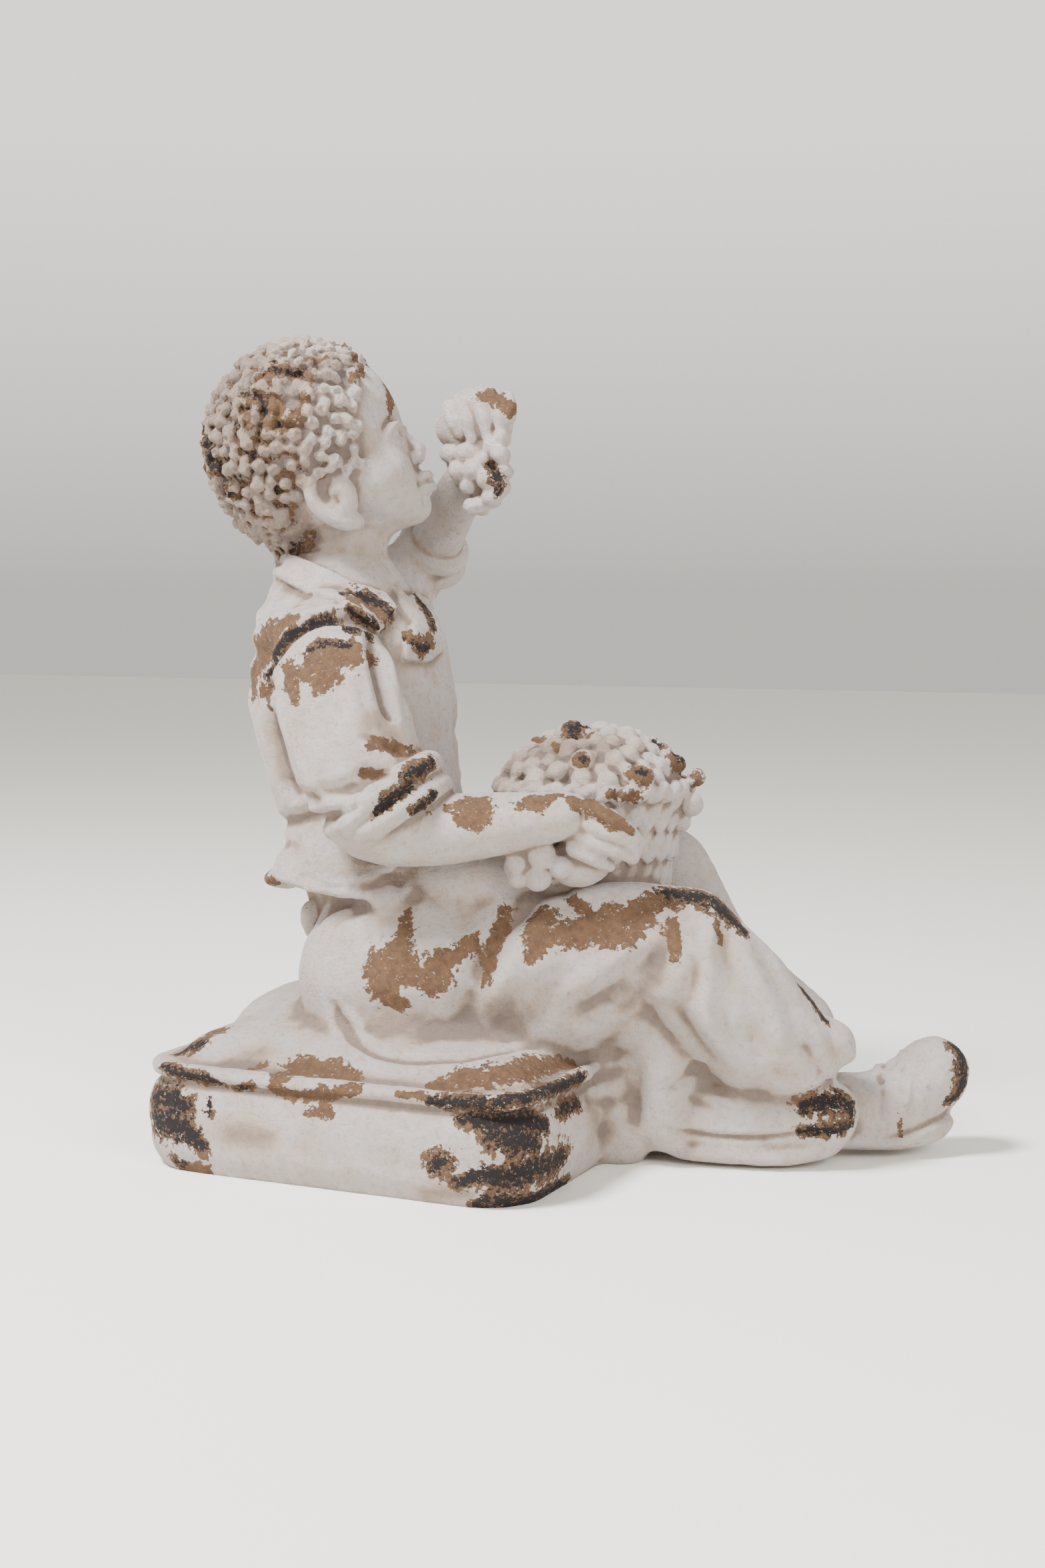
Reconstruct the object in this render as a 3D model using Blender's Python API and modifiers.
"""Garden statue of a seated boy with a basket of grapes.

The statue is one casting: the boy, his clothes, the basket and the cushion that he sits on are
fused. Each form is modelled by itself, all of them are melted into one skin, the folds are
pressed into that skin, and it is then reduced to one faceted solid with a flat underside.

Frame: metres, +Z up, origin at the centre of the cushion's underside, +X towards its front.
The boy is modelled facing +X in 500ths of his sitting height, and is then turned on the seat.
"""

import math
import random

import bmesh
import bpy
import numpy as np
from mathutils import Matrix, Vector
from mathutils.bvhtree import BVHTree

# Driving dimensions, in metres
CUSHION_LENGTH = 0.296
CUSHION_WIDTH = 0.330
CUSHION_HEIGHT = 0.073
CUSHION_CORNER_RADIUS = 0.038
CUSHION_CROWN = 0.024
CUSHION_CROWN_REACH = 0.084
CUSHION_SIDE_BULGE = 0.0065
CUSHION_FOOT_TUCK = 0.009
CUSHION_LOWER_SEAM_HEIGHT = 0.022
PIPING_RADIUS = 0.0055
SITTING_HEIGHT = 0.500
BASKET_RIM_RADIUS = 0.063
BASKET_FOOT_RADIUS = 0.046
BASKET_DEPTH = 0.072
BASKET_ROPE_RADIUS = 0.0055
GRAPE_RADIUS = 0.0085
CURL_RADIUS = 0.0085
SHOE_SOLE_THICKNESS = 0.014
FOLD_DEPTH = 0.0060

# How he sits on the cushion, in degrees
TURN_ON_SEAT = 10.0
HEAD_TILT_BACK = 20.0
HEAD_TURN_LEFT = 11.0

# The height of the heap of grapes, as a share of its radius
HEAP_RISE = 0.63

# Fineness of the melted skin, in metres, and of the finished solid, in triangles
SKIN_CELL = 0.0030
SKIN_SMOOTHING = 4
SOLID_TRIANGLES = 9800

UNITS_IN_SITTING_HEIGHT = 500.0
UNIT = SITTING_HEIGHT / UNITS_IN_SITTING_HEIGHT
BELOW_GROUND = 0.008
COLLECTION_NAME = "boy_garden_statue"
STATUE_NAME = "boy_statue"
CURVE_STEPS = 5
GOLDEN_ANGLE = math.pi * (3.0 - math.sqrt(5.0))

# Places on the boy, in his own units from the seat
HEAD_CENTRE = (-84, 0, 418)
BASKET_PLACE = (118, -2, 108)

forms = []


def clear_scene():
    for obj in list(bpy.data.objects):
        bpy.data.objects.remove(obj, do_unlink=True)


def on_seat(x, y, height):
    """A point of the boy, its height measured from the seat, in metres."""
    turned = Matrix.Rotation(math.radians(TURN_ON_SEAT), 4, "Z") @ Vector((x, y, height))
    return turned * UNIT + Vector((0, 0, CUSHION_HEIGHT))


def on_ground(x, y, height):
    """A point of the boy's feet, its height measured from the ground, in metres."""
    turned = Matrix.Rotation(math.radians(TURN_ON_SEAT), 4, "Z") @ Vector((x, y, height))
    return turned * UNIT


def head_matrix():
    """Turns the head's own directions (forward, left, up) into the boy's."""
    turn = Matrix.Rotation(math.radians(HEAD_TURN_LEFT), 4, "Z")
    tilt = Matrix.Rotation(math.radians(-HEAD_TILT_BACK), 4, "Y")
    return Matrix.Translation(Vector(HEAD_CENTRE)) @ turn @ tilt


def on_head(forward, left, up):
    """A point given from the middle of the skull, in metres."""
    return on_seat(*(head_matrix() @ Vector((forward, left, up))))


def facing(*turns):
    """The rotation of a form: the boy's own turn, and then each (degrees, axis) in turn."""
    rotation = Matrix.Rotation(math.radians(TURN_ON_SEAT), 4, "Z")
    for degrees, axis in turns:
        rotation = rotation @ Matrix.Rotation(math.radians(degrees), 4, axis)
    return rotation


def head_facing():
    return facing((HEAD_TURN_LEFT, "Z"), (-HEAD_TILT_BACK, "Y"))


def keep(obj):
    forms.append(obj)
    return obj


def blob(name, centre, radii, rotation=None, segments=24):
    """An egg-shaped mass: centre in metres, radii in the boy's units."""
    bpy.ops.mesh.primitive_uv_sphere_add(segments=segments, ring_count=segments // 2, radius=UNIT)
    obj = bpy.context.object
    obj.name = name
    turn = rotation or facing()
    obj.matrix_world = Matrix.Translation(centre) @ turn @ Matrix.Diagonal((*radii, 1.0))
    return keep(obj)


def ball(name, centre, radius):
    """A round berry or bead: centre and radius in metres."""
    bpy.ops.mesh.primitive_ico_sphere_add(subdivisions=2, radius=radius, location=centre)
    obj = bpy.context.object
    obj.name = name
    return keep(obj)


def smooth_route(stations):
    """Points and radii along a smooth curve through the stations, each (point, radius)."""
    padded = [stations[0], *stations, stations[-1]]
    route = []
    for i in range(1, len(padded) - 2):
        before, start, end, after = padded[i - 1 : i + 3]
        for step in range(CURVE_STEPS):
            t = step / CURVE_STEPS
            weights = (
                -0.5 * t + t**2 - 0.5 * t**3,
                1 - 2.5 * t**2 + 1.5 * t**3,
                0.5 * t + 2 * t**2 - 1.5 * t**3,
                -0.5 * t**2 + 0.5 * t**3,
            )
            around = (before, start, end, after)
            point = sum((w * s[0] for w, s in zip(weights, around)), Vector())
            radius = sum(w * s[1] for w, s in zip(weights, around))
            route.append((point, radius))
    route.append(stations[-1])
    return route


def limb(name, stations, flatten=None, round_ends=True):
    """A rounded limb through stations, each (point in metres, radius in the boy's units).
    flatten is (factor, direction): the limb is scaled by the factor along that direction."""
    route = smooth_route(stations)
    data = bpy.data.curves.new(name, "CURVE")
    data.dimensions = "3D"
    data.bevel_depth = UNIT
    data.bevel_resolution = 4
    data.use_fill_caps = True
    spline = data.splines.new("POLY")
    spline.points.add(len(route) - 1)
    middle = sum((point for point, _ in route), Vector()) / len(route)
    for target, (point, radius) in zip(spline.points, route):
        target.co = (*(point - middle), 1.0)
        target.radius = radius
    obj = bpy.data.objects.new(name, data)
    bpy.context.scene.collection.objects.link(obj)
    scale = Matrix.Scale(flatten[0], 4, flatten[1]) if flatten else Matrix.Identity(4)
    obj.matrix_world = Matrix.Translation(middle) @ scale
    keep(obj)
    if not round_ends:
        return obj
    for end, label in ((0, "start"), (-1, "end")):
        point, radius = stations[end]
        cap = blob(f"{name}_{label}", point, (radius,) * 3)
        if flatten:
            cap.matrix_world = Matrix.Translation(middle) @ scale @ Matrix.Translation(
                point - middle
            ) @ Matrix.Diagonal((radius, radius, radius, 1.0))
    return obj


def ribbon(name, points, width, thickness, lean=0.0):
    """A strip of cloth standing on edge along points in metres, leaning by an angle in degrees."""
    data = bpy.data.curves.new(name, "CURVE")
    data.dimensions = "3D"
    data.twist_mode = "Z_UP"
    data.extrude = width * UNIT / 2
    data.bevel_depth = thickness * UNIT / 2
    data.bevel_resolution = 2
    data.use_fill_caps = True
    route = smooth_route([(point, 1.0) for point in points])
    spline = data.splines.new("POLY")
    spline.points.add(len(route) - 1)
    for target, (point, _) in zip(spline.points, route):
        target.co = (*point, 1.0)
        target.tilt = math.radians(lean)
    obj = bpy.data.objects.new(name, data)
    bpy.context.scene.collection.objects.link(obj)
    return keep(obj)


def ring(name, centre, normal, major, minor):
    """A rolled edge or rope: a torus round normal, sizes in metres."""
    bpy.ops.mesh.primitive_torus_add(
        major_radius=major, minor_radius=minor, major_segments=40, minor_segments=10
    )
    obj = bpy.context.object
    obj.name = name
    turn = Vector(normal).to_track_quat("Z", "Y").to_matrix().to_4x4()
    obj.matrix_world = Matrix.Translation(centre) @ turn
    return keep(obj)


def boy_direction(x, y, z):
    """A direction in the boy's own frame, turned as he is."""
    return facing() @ Vector((x, y, z))


def cushion_outline(inset):
    """A new face in a bmesh with the cushion's rounded outline, drawn in by inset."""
    bm = bmesh.new()
    half_length = CUSHION_LENGTH / 2 - inset
    half_width = CUSHION_WIDTH / 2 - inset
    radius = max(CUSHION_CORNER_RADIUS - 0.6 * inset, 0.2 * CUSHION_CORNER_RADIUS)
    corner_steps = 8
    ring_points = []
    for quarter in range(4):
        sign_x = 1 if quarter in (0, 3) else -1
        sign_y = 1 if quarter in (0, 1) else -1
        for step in range(corner_steps + 1):
            angle = math.radians(90 * quarter + 90 * step / corner_steps)
            ring_points.append(
                (
                    sign_x * (half_length - radius) + radius * math.cos(angle),
                    sign_y * (half_width - radius) + radius * math.sin(angle),
                )
            )
    bm.faces.new([bm.verts.new((x, y, 0)) for x, y in ring_points])
    return bm


def cushion_profile():
    """Height and inset of each step up the cushion's side, from the ground to its crown."""
    top, seam = CUSHION_HEIGHT, CUSHION_LOWER_SEAM_HEIGHT
    piping, bulge, tuck = PIPING_RADIUS, CUSHION_SIDE_BULGE, CUSHION_FOOT_TUCK
    steps = [(-BELOW_GROUND, tuck), (0.0, tuck), (0.4 * seam, 0.35 * tuck)]
    steps += [(0.9 * seam, 0.08 * tuck), (seam, 0.4 * bulge)]
    side_foot, side_top = seam * 1.15, top - 2.4 * piping
    for share, inset in ((0.0, 0.2), (0.25, 0.03), (0.5, 0.0), (0.75, 0.25), (0.92, 0.7)):
        steps.append((side_foot + share * (side_top - side_foot), inset * bulge))
    steps.append((top - 2.1 * piping, bulge + 0.7 * piping))
    for degrees in (-60, -20, 20, 60):
        turn = math.radians(degrees)
        out = piping * (1 - math.cos(turn))
        steps.append((top - piping + piping * math.sin(turn), 0.85 * bulge + out))
    back_of_piping = bulge + 1.9 * piping
    steps.append((top - 0.4 * piping, back_of_piping))
    crown_steps = 7
    for step in range(1, crown_steps):
        share = step / crown_steps
        rise = CUSHION_CROWN * math.sin(share * math.pi / 2) ** 0.7
        inset = back_of_piping + CUSHION_CROWN_REACH * share**1.7
        steps.append((top - 0.4 * piping + rise, inset))
    return steps


def cushion():
    """The cushion plinth: a rounded outline drawn up through its profile, step by step."""
    profile = cushion_profile()
    rings = []
    bm = bmesh.new()
    for height, inset in profile:
        outline = cushion_outline(inset)
        rings.append([bm.verts.new((v.co.x, v.co.y, height)) for v in outline.verts])
        outline.free()
    for lower, upper in zip(rings, rings[1:]):
        for i, vert in enumerate(lower):
            after = (i + 1) % len(lower)
            bm.faces.new((vert, lower[after], upper[after], upper[i]))
    bm.faces.new(list(reversed(rings[0])))
    bm.faces.new(rings[-1])
    data = bpy.data.meshes.new("cushion")
    bm.to_mesh(data)
    bm.free()
    obj = bpy.data.objects.new("cushion", data)
    bpy.context.scene.collection.objects.link(obj)
    return keep(obj)


def seat_cloth():
    """The cloth that hangs over the cushion's front, under the knees, and the mound behind him."""
    blob("cloth_over_front", on_ground(112, 34, 62), (52, 78, 50))
    blob("cloth_under_knees", on_ground(176, 34, 70), (44, 62, 62))
    for y, x, radius in ((-34, 146, 22), (2, 160, 26), (44, 168, 28), (88, 156, 26)):
        fold = [(on_ground(x - 12, y, 78), radius), (on_ground(x, y, 16), radius)]
        limb("cloth_front_fold", fold)
    limb(
        "cloth_behind_shin",
        [
            (on_ground(150, -40, 112), 24),
            (on_ground(172, -38, 70), 24),
            (on_ground(176, -36, 30), 22),
        ],
    )
    limb("cloth_by_heel", [(on_ground(182, -24, 104), 22), (on_ground(188, -22, 50), 22)])
    blob("seat_mound", on_ground(-78, 8, 74), (66, 104, 34))


def hips_and_waist():
    blob("hips", on_seat(-6, 0, 46), (62, 90, 62))
    blob("belly", on_seat(-14, 0, 104), (52, 70, 56))
    for side in (-1, 1):
        blob("seat_cheek", on_seat(-10, side * 40, 36), (52, 54, 50))
    knots = [(-76, -26, 84, 12), (-78, -10, 76, 13), (-72, -42, 90, 10), (-76, 8, 84, 12)]
    for x, y, height, radius in knots:
        blob("sash_knot", on_seat(x, y, height), (radius,) * 3)
    limb(
        "sash_tail",
        [(on_seat(-78, 0, 76), 9), (on_seat(-78, 6, 58), 9), (on_seat(-75, 8, 42), 7)],
    )
    limb(
        "waistband",
        [(on_seat(-68, -46, 96), 9), (on_seat(-26, -82, 108), 9), (on_seat(18, -74, 112), 8)],
    )
    blob("lap_cloth", on_seat(50, -4, 82), (84, 74, 48))
    blob("lap_under_arm", on_seat(48, -34, 116), (56, 46, 36))


def legs():
    knee_r = on_seat(192, -40, 82)
    knee_l = on_seat(158, 62, 114)
    limb(
        "thigh_right",
        [
            (on_seat(-22, -48, 50), 58),
            (on_seat(40, -50, 56), 57),
            (on_seat(104, -46, 66), 50),
            (on_seat(156, -42, 78), 41),
            (knee_r, 36),
        ],
    )
    limb(
        "thigh_cloth_right",
        [
            (on_seat(-20, -52, 26), 52),
            (on_seat(50, -54, 24), 46),
            (on_seat(104, -48, 36), 40),
            (on_seat(144, -42, 54), 34),
        ],
    )
    limb(
        "thigh_top_right",
        [
            (on_seat(128, -62, 107), 13),
            (on_seat(156, -58, 109), 14),
            (on_seat(182, -50, 105), 14),
        ],
    )
    limb(
        "thigh_left",
        [
            (on_seat(-22, 48, 50), 58),
            (on_seat(46, 56, 66), 54),
            (on_seat(112, 60, 94), 43),
            (knee_l, 33),
        ],
    )
    limb("thigh_cloth_left", [(on_seat(-10, 56, 30), 52), (on_seat(92, 58, 50), 46)])
    hem_r = on_ground(256, -22, 82)
    limb("shin_right", [(knee_r, 35), (knee_r.lerp(hem_r, 0.5), 38), (hem_r, 35)])
    limb(
        "trouser_leg_right",
        [
            (on_seat(184, -44, 66), 34),
            (on_ground(214, -34, 110), 38),
            (on_ground(232, -26, 88), 36),
        ],
    )
    limb(
        "hem_right",
        [
            (on_ground(222, -40, 88), 20),
            (on_ground(258, -36, 78), 20),
            (on_ground(284, -16, 82), 20),
        ],
    )
    hem_l = on_ground(256, 46, 82)
    limb("shin_left", [(knee_l, 33), (on_ground(198, 60, 130), 27), (hem_l, 27)])
    limb(
        "trouser_leg_left",
        [
            (on_seat(140, 64, 88), 34),
            (on_ground(178, 62, 100), 36),
            (on_ground(222, 56, 80), 32),
        ],
    )
    limb(
        "hem_left",
        [
            (on_ground(232, 66, 66), 22),
            (on_ground(262, 56, 66), 20),
            (on_ground(270, 38, 70), 16),
        ],
    )


def shoe(name, heel, toe, heel_radius, toe_radius, lift):
    """A soft shoe from heel to toe, each (x, y) in the boy's units, its toe lifted by lift."""
    sole = SHOE_SOLE_THICKNESS / UNIT
    heel_point, toe_point = Vector(heel), Vector(toe)
    ball_point = heel_point.lerp(toe_point, 0.62)
    limb(
        f"{name}_upper",
        [
            (on_ground(*heel_point, heel_radius + 3), heel_radius),
            (on_ground(*heel_point.lerp(toe_point, 0.35), heel_radius + 3), heel_radius + 1),
            (on_ground(*ball_point, heel_radius + 2 + 0.3 * lift), heel_radius),
            (on_ground(*toe_point, toe_radius + 3 + lift), toe_radius),
        ],
    )
    limb(
        f"{name}_sole",
        [
            (on_ground(*heel_point, sole / 2), heel_radius + 1),
            (on_ground(*ball_point, sole / 2), heel_radius + 2),
            (on_ground(*heel_point.lerp(toe_point, 0.86), sole / 2 + lift), toe_radius),
        ],
        flatten=(0.30, Vector((0, 0, 1))),
    )


def feet():
    shoe("shoe_right", (200, -20), (282, -14), 27, 24, 8)
    shoe("shoe_left", (292, 22), (350, 44), 27, 26, 26)


def shirt():
    limb(
        "shirt_body",
        [
            (on_seat(-34, 0, 112), 56),
            (on_seat(-39, 0, 152), 62),
            (on_seat(-50, 0, 194), 66),
            (on_seat(-56, 0, 236), 72),
            (on_seat(-60, 0, 272), 69),
            (on_seat(-66, 0, 298), 52),
        ],
        flatten=(1.14, boy_direction(0, 1, 0)),
    )
    bpy.ops.mesh.primitive_cone_add(
        vertices=48, radius1=76 * UNIT, radius2=62 * UNIT, depth=40 * UNIT
    )
    skirt = bpy.context.object
    skirt.name = "shirt_skirt"
    skirt.matrix_world = (
        Matrix.Translation(on_seat(-36, 0, 128))
        @ facing((6, "Y"))
        @ Matrix.Diagonal((1.0, 1.22, 1.0, 1.0))
    )
    keep(skirt)
    blob("shoulder_yoke", on_seat(-70, 0, 286), (54, 86, 36))


def collar():
    for side in (-1, 1):
        ribbon(
            "collar",
            [
                on_seat(-112, side * 4, 330),
                on_seat(-98, side * 36, 326),
                on_seat(-62, side * 52, 314),
                on_seat(-28, side * 46, 300),
                on_seat(-6, side * 30, 278),
            ],
            30,
            9,
            lean=-side * 52,
        )


def right_arm():
    limb(
        "sleeve_right",
        [
            (on_seat(-50, -74, 276), 36),
            (on_seat(-38, -90, 246), 42),
            (on_seat(-22, -97, 206), 44),
            (on_seat(-6, -99, 174), 40),
        ],
    )
    limb(
        "forearm_right",
        [
            (on_seat(6, -99, 156), 25),
            (on_seat(36, -98, 158), 25),
            (on_seat(74, -95, 162), 22),
            (on_seat(118, -88, 168), 17),
        ],
    )
    roll_direction = boy_direction(0.58, 0.03, -0.81)
    for along, radius in ((-5, 36), (11, 34)):
        centre = on_seat(2, -99, 176) + roll_direction * along * UNIT
        ring("cuff_right", centre, roll_direction, radius * UNIT, 8.5 * UNIT)


def right_hand():
    blob("palm_right", on_seat(126, -84, 164), (24, 12, 16), facing((26, "Y")))
    blob("knuckles_right", on_seat(143, -80, 161), (14, 11, 13))
    fingers = [
        [(135, -90, 175), (150, -91, 167), (162, -87, 159), (166, -80, 152)],
        [(134, -90, 164), (146, -91, 158), (156, -87, 155), (165, -80, 147)],
        [(130, -90, 155), (142, -91, 149), (153, -87, 145), (163, -80, 141)],
        [(126, -90, 147), (134, -91, 143), (142, -87, 138), (147, -80, 135)],
    ]
    for places in fingers:
        radii = (6.2, 5.4, 4.9, 4.4)
        limb("finger_right", [(on_seat(*place), r) for place, r in zip(places, radii)])
    blob("heel_of_hand", on_seat(124, -72, 137), (22, 17, 18))


def left_arm():
    elbow = on_seat(-34, 112, 340)
    wrist = on_seat(17, 56, 410)
    limb(
        "sleeve_left",
        [(on_seat(-60, 66, 278), 37), (on_seat(-56, 94, 314), 32), (on_seat(-40, 110, 336), 25)],
    )
    limb("forearm_left", [(elbow, 21), (elbow.lerp(wrist, 0.5), 19), (wrist, 14)])
    roll_direction = (wrist - elbow).normalized()
    for along, radius in ((-2, 22), (11, 20)):
        centre = elbow + roll_direction * along * UNIT
        ring("cuff_left", centre, roll_direction, radius * UNIT, 7.5 * UNIT)


def left_hand():
    blob("palm_left", on_seat(23, 50, 440), (29, 22, 21))
    fingers = [
        [(12, 34, 450), (17, 34, 436), (22, 34, 422)],
        [(22, 35, 452), (28, 35, 439), (30, 35, 425)],
        [(34, 36, 454), (39, 36, 440), (42, 36, 430)],
        [(43, 39, 454), (48, 39, 446), (49, 39, 436)],
        [(-1, 40, 444), (2, 40, 435), (10, 40, 427)],
    ]
    for places in fingers:
        limb("finger_left", [(on_seat(*place), 5.6) for place in places])


def bunch(name, top, length, width, count, radius, seed):
    """A bunch of berries hanging from top, in metres: round rows that narrow to a point."""
    pick = random.Random(seed)
    for i in range(count):
        share = (i + 0.5) / count
        out = width * math.sqrt(max(0.0, 1 - share)) * 0.62
        angle = i * GOLDEN_ANGLE
        offset = Vector((out * math.cos(angle), out * math.sin(angle), -share * length))
        ball(name, top + offset, radius * pick.uniform(0.88, 1.12))


def dome_points(count, lowest=0.0):
    """Even directions over a dome, from its crown down to the height lowest (of 1)."""
    for i in range(count):
        z = 1 - (1 - lowest) * (i + 0.5) / count
        out = math.sqrt(max(0.0, 1 - z * z))
        yield Vector((out * math.cos(i * GOLDEN_ANGLE), out * math.sin(i * GOLDEN_ANGLE), z))


def basket():
    foot = on_seat(*BASKET_PLACE)
    up = Vector((0, 0, 1))
    depth, rim, base = BASKET_DEPTH, BASKET_RIM_RADIUS, BASKET_FOOT_RADIUS
    belly_share, belly_radius = 0.45, base + 0.72 * (rim - base)
    limb(
        "basket_bowl",
        [
            (foot + up * 0.12 * depth, 0.5 * base / UNIT),
            (foot + up * 0.12 * depth, base / UNIT),
            (foot + up * belly_share * depth, belly_radius / UNIT),
            (foot + up * depth * 0.98, rim / UNIT),
            (foot + up * depth * 0.98, 0.5 * rim / UNIT),
        ],
        round_ends=False,
    )
    ring("basket_foot", foot + up * 0.02 * depth, up, base, 0.9 * BASKET_ROPE_RADIUS)
    ring("basket_rim", foot + up * depth, up, rim, BASKET_ROPE_RADIUS)
    stakes = 22
    for i in range(stakes):
        for row, share in enumerate((0.28, 0.52, 0.76)):
            turn = 2 * math.pi * (i + 0.5 * (row % 2)) / stakes
            out = Vector((math.cos(turn), math.sin(turn), 0))
            radius = base + (rim - base) * share**0.7
            ball("basket_weave", foot + up * depth * share + out * radius * 0.985, 0.11 * base)


def fruit():
    """Grapes heaped over the rim of the basket, some hanging over its front."""
    rim = on_seat(*BASKET_PLACE) + Vector((0, 0, BASKET_DEPTH))
    heap = BASKET_RIM_RADIUS * 0.97
    core = 0.94 * heap / UNIT
    blob("fruit_heap", rim, (core, core, core * HEAP_RISE))
    pick = random.Random(4)
    for way in dome_points(66, 0.20):
        size = GRAPE_RADIUS * pick.uniform(0.85, 1.30)
        spot = Vector((way.x, way.y, way.z * HEAP_RISE)) * (heap - 0.2 * GRAPE_RADIUS)
        ball("grape_in_basket", rim + spot, size)
    bunch("bunch_over_rim", on_seat(172, 20, 194), 0.050, 0.030, 14, GRAPE_RADIUS * 1.15, 8)


def grapes_by_wrist():
    spots = [(98, -88, 146), (82, -86, 143), (96, -88, 130), (81, -84, 131), (112, -86, 138)]
    for x, y, height in spots:
        ball("grape_on_lap", on_seat(x, y, height), GRAPE_RADIUS)
    blob("grape_stalk", on_seat(98, -70, 134), (22, 16, 14))


def head():
    neck_top = on_head(6, 0, -50)
    limb("neck", [(on_seat(-70, 0, 296), 38), (on_seat(-68, 0, 326), 34), (neck_top, 33)])
    turned = head_facing()
    blob("skull", on_head(-4, 0, 4), (68, 60, 66), turned, 32)
    blob("face", on_head(16, 0, -22), (48, 50, 54), turned, 32)
    for side in (-1, 1):
        blob("cheek", on_head(30, side * 24, -38), (30, 27, 28), turned)
        blob("eyelid", on_head(51, side * 20, -10), (11, 12, 8), turned)
        ear(side)
    blob("jaw", on_head(34, 0, -60), (28, 30, 18), turned)
    blob("chin", on_head(50, 0, -66), (15, 15, 13), turned)
    blob("mouth", on_head(55, 0, -48), (14, 17, 12), turned)
    limb("nose", [(on_head(60, 0, -10), 6), (on_head(64, 0, -20), 6), (on_head(68, 0, -28), 7)])
    for side in (-1, 1):
        blob("nostril", on_head(67, side * 7, -30), (6, 5, 5), turned)
        limb(
            "lip_upper",
            [
                (on_head(66, 0, -43), 5),
                (on_head(63, side * 8, -44), 4),
                (on_head(57, side * 15, -47), 2),
            ],
        )
        limb(
            "lip_lower",
            [
                (on_head(65, 0, -51), 6),
                (on_head(62, side * 7, -51), 5),
                (on_head(57, side * 14, -48), 2),
            ],
        )


def ear(side):
    """The ear's rim and lobe; side is -1 for his right ear and 1 for his left."""
    rim = [
        (12, 52, -31, 3.5),
        (4, 58, -26, 4.0),
        (-5, 61, -32, 4.6),
        (-7, 60, -44, 4.8),
        (-2, 58, -56, 5.4),
        (9, 54, -64, 6.0),
        (20, 49, -67, 6.0),
    ]
    limb("ear", [(on_head(forward, side * out, up), r) for forward, out, up, r in rim])
    blob("ear_bowl", on_head(6, side * 54, -46), (15, 7, 19), head_facing())


def hair():
    """Tight curls over the skull, leaving the face and the ears clear."""
    turned = head_facing()
    blob("hair_mass", on_head(-6, 0, 2), (66, 65, 68), turned, 32)
    blob("hair_nape", on_head(-30, 0, -30), (38, 48, 36), turned)
    pick = random.Random(12)
    count = 210
    for i in range(count):
        up = 1 - 2 * (i + 0.5) / count
        out = math.sqrt(1 - up * up)
        angle = i * GOLDEN_ANGLE
        way = Vector((out * math.cos(angle), out * math.sin(angle), up))
        on_face = way.x > 0.68 + 0.28 * way.z
        by_the_ear = way.z < -0.50 and way.x > -0.22 or way.z < -0.66 and way.x > -0.4
        if on_face or by_the_ear or way.z < -0.93:
            continue
        spot = (-5 + 67 * way.x, 66 * way.y, 2 + 69 * way.z)
        ball("curl", on_head(*spot), CURL_RADIUS * pick.uniform(0.8, 1.25))


def melt(objects):
    """Joins the forms and melts them into one even skin, as a mesh."""
    graph = bpy.context.evaluated_depsgraph_get()
    bm = bmesh.new()
    for obj in objects:
        data = bpy.data.meshes.new_from_object(obj.evaluated_get(graph))
        data.transform(obj.matrix_world)
        bm.from_mesh(data)
        bpy.data.meshes.remove(data)
    for obj in objects:
        bpy.data.objects.remove(obj, do_unlink=True)
    data = bpy.data.meshes.new("forms")
    bm.to_mesh(data)
    bm.free()
    obj = bpy.data.objects.new("forms", data)
    bpy.context.scene.collection.objects.link(obj)
    remesh = obj.modifiers.new("melt", "REMESH")
    remesh.mode = "VOXEL"
    remesh.voxel_size = SKIN_CELL
    smooth = obj.modifiers.new("soften", "SMOOTH")
    smooth.factor = 0.5
    smooth.iterations = SKIN_SMOOTHING
    bpy.context.view_layer.update()
    graph = bpy.context.evaluated_depsgraph_get()
    skin = bpy.data.meshes.new_from_object(obj.evaluated_get(graph))
    bpy.data.objects.remove(obj, do_unlink=True)
    return skin


def distance_to_route(points, route):
    """Each point's distance to a chain of straight runs, and how far along it (0 to 1)."""
    lengths = np.linalg.norm(np.diff(route, axis=0), axis=1)
    total = lengths.sum()
    nearest = np.full(len(points), np.inf)
    along = np.zeros(len(points))
    passed = 0.0
    for start, end, length in zip(route, route[1:], lengths):
        if length == 0:
            continue
        run = end - start
        share = np.clip((points - start) @ run / (length * length), 0, 1)
        gap = np.linalg.norm(points - (start + share[:, None] * run), axis=1)
        closer = gap < nearest
        nearest[closer] = gap[closer]
        along[closer] = (passed + share[closer] * length) / total
        passed += length
    return nearest, along


def press_folds(skin, folds):
    """Raises or sinks the skin along each fold: (points in metres, width, height in fold depths)."""
    count = len(skin.vertices)
    points = np.zeros(count * 3)
    skin.vertices.foreach_get("co", points)
    points = points.reshape(-1, 3)
    normals = np.zeros(count * 3)
    skin.vertex_normals.foreach_get("vector", normals)
    normals = normals.reshape(-1, 3)
    tree = BVHTree.FromPolygons(
        [v.co for v in skin.vertices], [tuple(p.vertices) for p in skin.polygons]
    )
    moved = np.zeros(count)
    for route_points, width, height in folds:
        stations = [(point, 1.0) for point in route_points]
        route = np.array([tree.find_nearest(p)[0] for p, _ in smooth_route(stations)])
        gap, along = distance_to_route(points, route)
        taper = np.clip(4 * np.minimum(along, 1 - along), 0, 1) ** 0.7
        moved += height * FOLD_DEPTH * taper * np.exp(-((gap / (width * UNIT)) ** 2))
    points += normals * moved[:, None]
    skin.vertices.foreach_set("co", points.ravel())
    skin.update()


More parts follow.
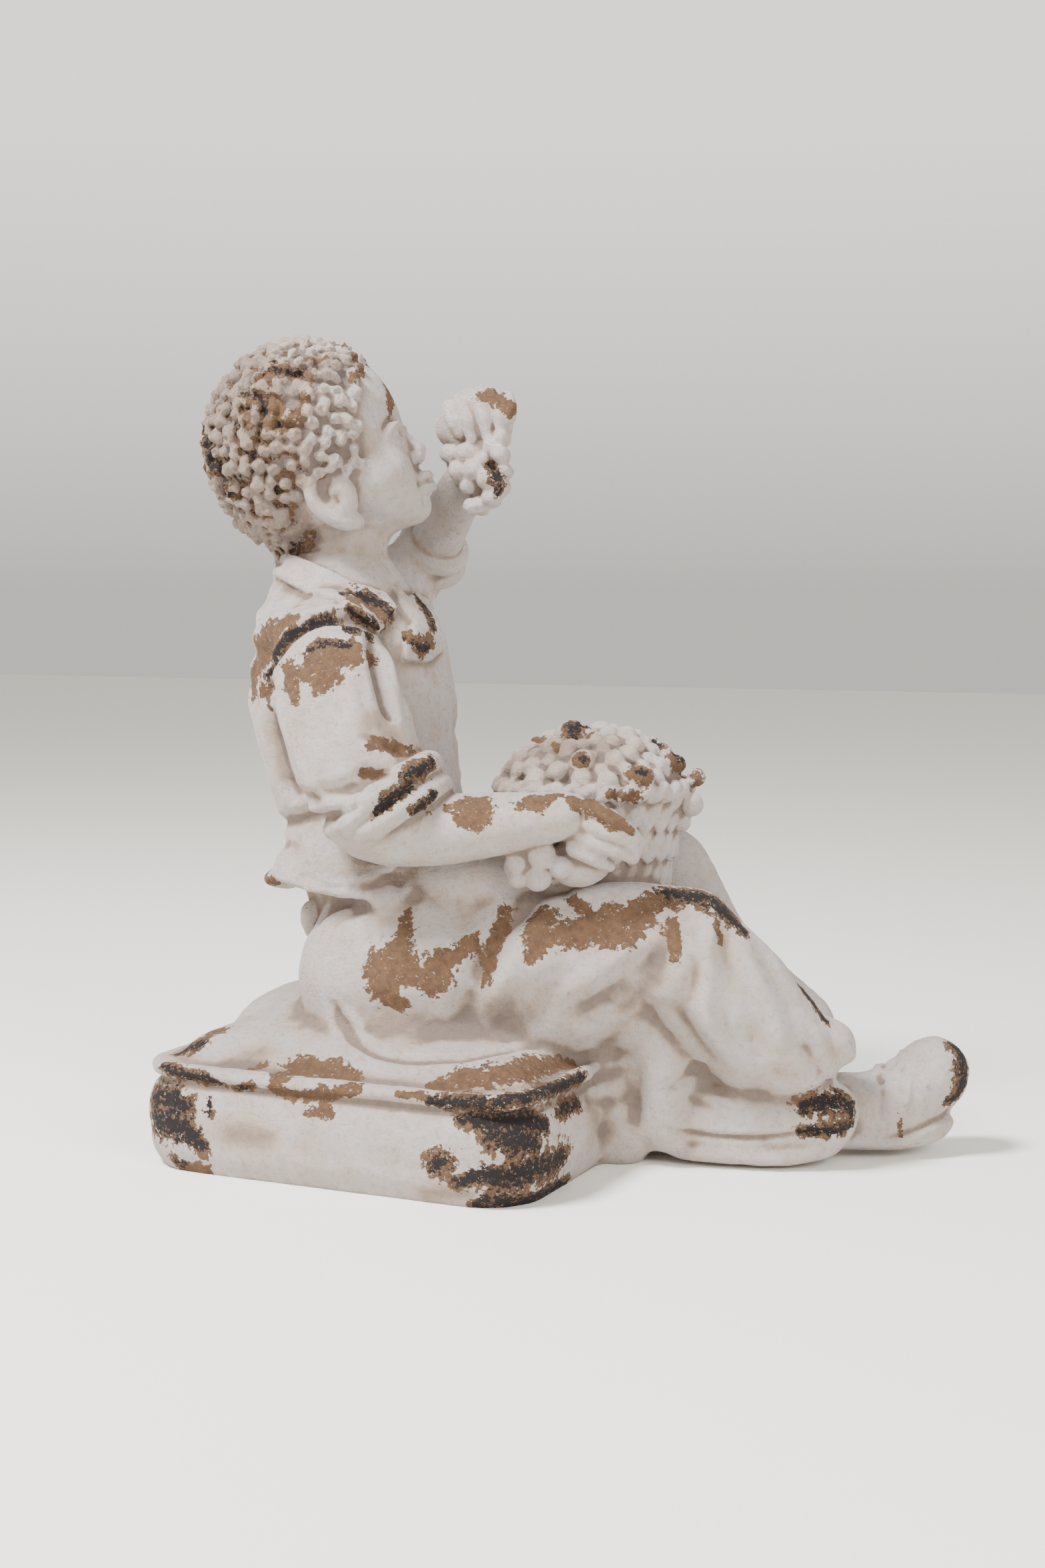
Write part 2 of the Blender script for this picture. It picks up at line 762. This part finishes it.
def cloth_folds():
    """Folds of the shirt, the trousers and the cloth on the seat."""
    seat, ground = on_seat, on_ground
    return [
        # trousers: creases from the lap round the near hip, with rolls between them
        ([seat(70, -80, 108), seat(30, -100, 72), seat(8, -100, 30), seat(0, -96, 6)], 7, -1.0),
        ([seat(92, -84, 104), seat(58, -98, 70), seat(34, -100, 20)], 7, 1.0),
        ([seat(100, -86, 92), seat(72, -94, 52), seat(52, -96, 10)], 6, -0.9),
        ([seat(186, -74, 88), seat(140, -82, 44), seat(84, -88, 14)], 8, -1.0),
        ([seat(196, -76, 74), seat(150, -74, 34), seat(100, -80, 2)], 7, 1.0),
        # trouser leg: folds that fan out from the knee to the hem
        ([seat(198, -78, 92), ground(206, -66, 120), ground(210, -52, 92)], 6, -1.0),
        ([seat(208, -76, 94), ground(226, -66, 112), ground(234, -54, 76)], 6, 1.0),
        ([seat(216, -70, 92), ground(244, -58, 112), ground(258, -50, 78)], 5, -0.9),
        ([seat(226, -60, 90), ground(262, -44, 112), ground(282, -36, 80)], 6, 0.8),
        # left leg, on the far side
        ([seat(160, 96, 112), seat(110, 104, 70), seat(60, 106, 24)], 8, -1.0),
        ([seat(178, 92, 106), seat(206, 84, 60), ground(236, 74, 90)], 7, -0.9),
        ([seat(60, 108, 90), seat(30, 106, 50), seat(10, 100, 10)], 8, -0.9),
        # cloth over the front of the cushion
        ([ground(148, -58, 66), ground(170, -10, 74), ground(172, 50, 84)], 5, -0.9),
        ([ground(150, -58, 40), ground(176, -8, 48), ground(176, 56, 56)], 5, -0.9),
        # shirt: the sleeve's seam, the cloth under the arm and the back
        ([seat(-96, -66, 276), seat(-88, -92, 250), seat(-70, -112, 200), seat(-40, -124, 160)], 6, -1.4),
        ([seat(-20, -56, 284), seat(-2, -66, 252), seat(4, -70, 216)], 6, -1.2),
        ([seat(-110, -60, 230), seat(-100, -84, 180), seat(-66, -96, 140)], 7, 0.9),
        ([seat(-60, -134, 196), seat(-36, -140, 168), seat(-8, -134, 150)], 5, -0.8),
        ([seat(-120, 20, 250), seat(-116, 40, 190), seat(-104, 50, 140)], 8, -0.8),
        ([seat(-96, 66, 276), seat(-88, 92, 240), seat(-70, 96, 190)], 6, -1.2),
        # shirt front: its two edges beside the bare chest
        ([seat(-4, -30, 276), seat(12, -30, 240), seat(20, -34, 190)], 5, 0.8),
        ([seat(-2, 30, 276), seat(12, 30, 240), seat(20, 30, 190)], 5, 0.8),
        ([seat(4, -16, 262), seat(20, -14, 220), seat(28, -14, 180)], 8, -0.7),
        # shoes: the line between upper and sole
        ([ground(176, -34, 20), ground(240, -38, 19), ground(292, -28, 26)], 3, -0.6),
        ([ground(300, -4, 22), ground(340, 16, 30), ground(368, 34, 46)], 3, -0.6),
    ]


def new_collection(name):
    collection = bpy.data.collections.new(name)
    bpy.context.scene.collection.children.link(collection)
    return collection


def ground_cutter():
    """A block whose top is the ground, which trims the underside flat."""
    size = 4 * SITTING_HEIGHT
    bpy.ops.mesh.primitive_cube_add(size=size, location=(0, 0, -size / 2))
    cutter = bpy.context.object
    cutter.name = "ground_cutter"
    cutter.hide_render = True
    cutter.display_type = "WIRE"
    for collection in list(cutter.users_collection):
        collection.objects.unlink(cutter)
    new_collection("cutters").objects.link(cutter)
    return cutter


def paint():
    material = bpy.data.materials.new("weathered_white_paint")
    material.use_nodes = True
    shader = material.node_tree.nodes["Principled BSDF"]
    shader.inputs["Base Color"].default_value = (0.76, 0.72, 0.67, 1.0)
    shader.inputs["Roughness"].default_value = 0.8
    shader.inputs["Metallic"].default_value = 0.0
    return material


def statue(skin):
    obj = bpy.data.objects.new(STATUE_NAME, skin)
    new_collection(COLLECTION_NAME).objects.link(obj)
    obj.data.materials.clear()
    obj.data.materials.append(paint())
    faces = 2 * len(skin.polygons)
    reduce = obj.modifiers.new("reduce", "DECIMATE")
    reduce.ratio = SOLID_TRIANGLES / faces
    reduce.use_collapse_triangulate = True
    trim = obj.modifiers.new("trim", "BOOLEAN")
    trim.operation = "DIFFERENCE"
    trim.solver = "EXACT"
    trim.object = ground_cutter()
    return obj


def main():
    clear_scene()
    cushion()
    seat_cloth()
    hips_and_waist()
    legs()
    feet()
    shirt()
    collar()
    right_arm()
    left_arm()
    right_hand()
    left_hand()
    bunch("bunch_in_hand", on_seat(27, 42, 422), 0.052, 0.034, 28, GRAPE_RADIUS, 3)
    basket()
    fruit()
    grapes_by_wrist()
    head()
    hair()
    bpy.context.view_layer.update()
    skin = melt(forms)
    press_folds(skin, cloth_folds())
    statue(skin)


main()
